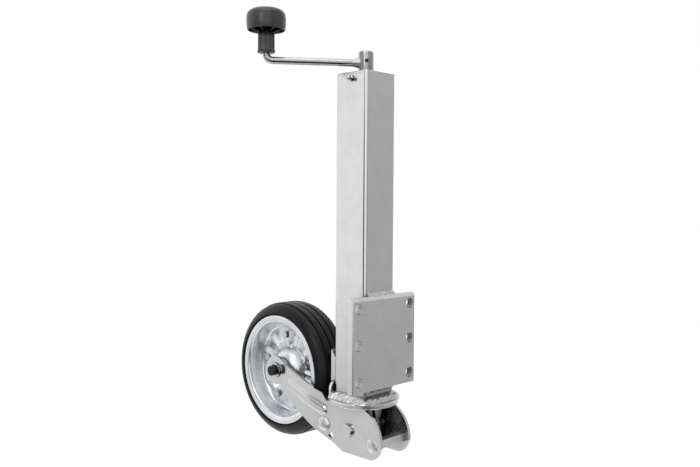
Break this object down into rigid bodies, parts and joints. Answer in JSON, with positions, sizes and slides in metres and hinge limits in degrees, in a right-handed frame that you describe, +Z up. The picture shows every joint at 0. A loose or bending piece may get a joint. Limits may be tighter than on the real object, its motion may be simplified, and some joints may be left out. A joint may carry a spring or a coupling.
{
  "type": "automatic folding jockey wheel",
  "caption": "Heavy automatic jockey wheel with bolt-on plate: a top crank lowers the sliding leg and swings a forked wheel down from its folded place.",
  "frame": {"origin": "middle of the mounting plate's outer face, which is also the middle of its bolt pattern", "axes": "+X out of the mounting plate towards the drawbar it bolts to, +Y across the column along the wheel axle, +Z up along the column"},
  "size_m": [0.3705, 0.2301, 0.7295],
  "materials": {
    "column_paint": "satin silver-grey paint over zinc",
    "weld_paint": "painted over rough weld beads",
    "leg_zinc": "dull zinc plate",
    "fork_zinc": "dull zinc plate",
    "crank_zinc": "bright zinc plate",
    "bearing_steel": "ground steel",
    "bronze": "turned bronze",
    "rim_zinc": "bright zinc plate",
    "fastener_zinc": "bright zinc plate",
    "black_steel": "black oxide",
    "tyre_rubber": "matt black solid rubber",
    "knob_plastic": "matt dark grey plastic",
    "bearing_nylon": "natural nylon"
  },
  "bodies": {
    "column": {"outer_tube": "column_paint", "top_cap": "column_paint", "spindle_bush": "bronze", "bearing_upper_washer": "bearing_steel", "bearing_ball_cage": "bearing_steel", "grease_nipple": "fastener_zinc", "mounting_plate": "column_paint", "plate_welds": "weld_paint", "collar_ring": "column_paint", "collar_weld": "weld_paint", "rear_guard": "column_paint", "tyre_stop": "column_paint", "guide_key": "column_paint"},
    "crank": {"spindle": "crank_zinc", "bearing_lower_washer": "bearing_steel", "crank_hub": "crank_zinc", "roll_pin": "crank_zinc", "crank_rod": "crank_zinc", "knob_clip": "black_steel"},
    "knob": {"knob_grip": "knob_plastic"},
    "leg": {"leg_tube": "leg_zinc", "leg_nut": "bronze", "nut_screws": "crank_zinc", "pivot_bosses": "leg_zinc", "pivot_pin": "fork_zinc"},
    "fork": {"fork_plate_near": "fork_zinc", "fork_plate_far": "fork_zinc", "heel_bar": "fork_zinc", "rear_spacer": "fork_zinc", "rear_rivet": "fork_zinc", "wheel_axle": "black_steel", "axle_clips": "black_steel", "axle_washers": "fastener_zinc"},
    "wheel": {"rim_half_near": "rim_zinc", "rim_half_far": "rim_zinc", "rim_bolts": "fastener_zinc", "rim_nuts": "fastener_zinc", "tyre": "tyre_rubber", "hub_tube": "rim_zinc", "hub_bearings": "bearing_nylon"}
  },
  "joints": [
    {"name": "crank_turn", "type": "hinge", "parent": "column", "child": "crank", "pos_m": [-0.047, 0, 0.434], "axis": [0, 0, 1], "range_deg": [0, 18000]},
    {"name": "knob_spin", "type": "hinge", "parent": "crank", "child": "knob", "pos_m": [-0.15113, -0.1241, 0.4645], "axis": [0, 0, 1], "continuous": true},
    {"name": "leg_slide", "type": "slide", "parent": "column", "child": "leg", "axis": [0, 0, -1], "range_m": [0, 0.25]},
    {"name": "fork_fold", "type": "hinge", "parent": "leg", "child": "fork", "pos_m": [-0.047, 0, -0.147], "axis": [0, -1, 0], "range_deg": [0, 90]},
    {"name": "wheel_spin", "type": "hinge", "parent": "fork", "child": "wheel", "pos_m": [-0.226, 0, -0.0755], "axis": [0, 1, 0], "continuous": true}
  ],
  "couplings": [
    {"joint": "leg_slide", "follows": "crank_turn", "m_per_rad": 0.00079577},
    {"joint": "fork_fold", "follows": "crank_turn", "ratio": 0.005}
  ]
}
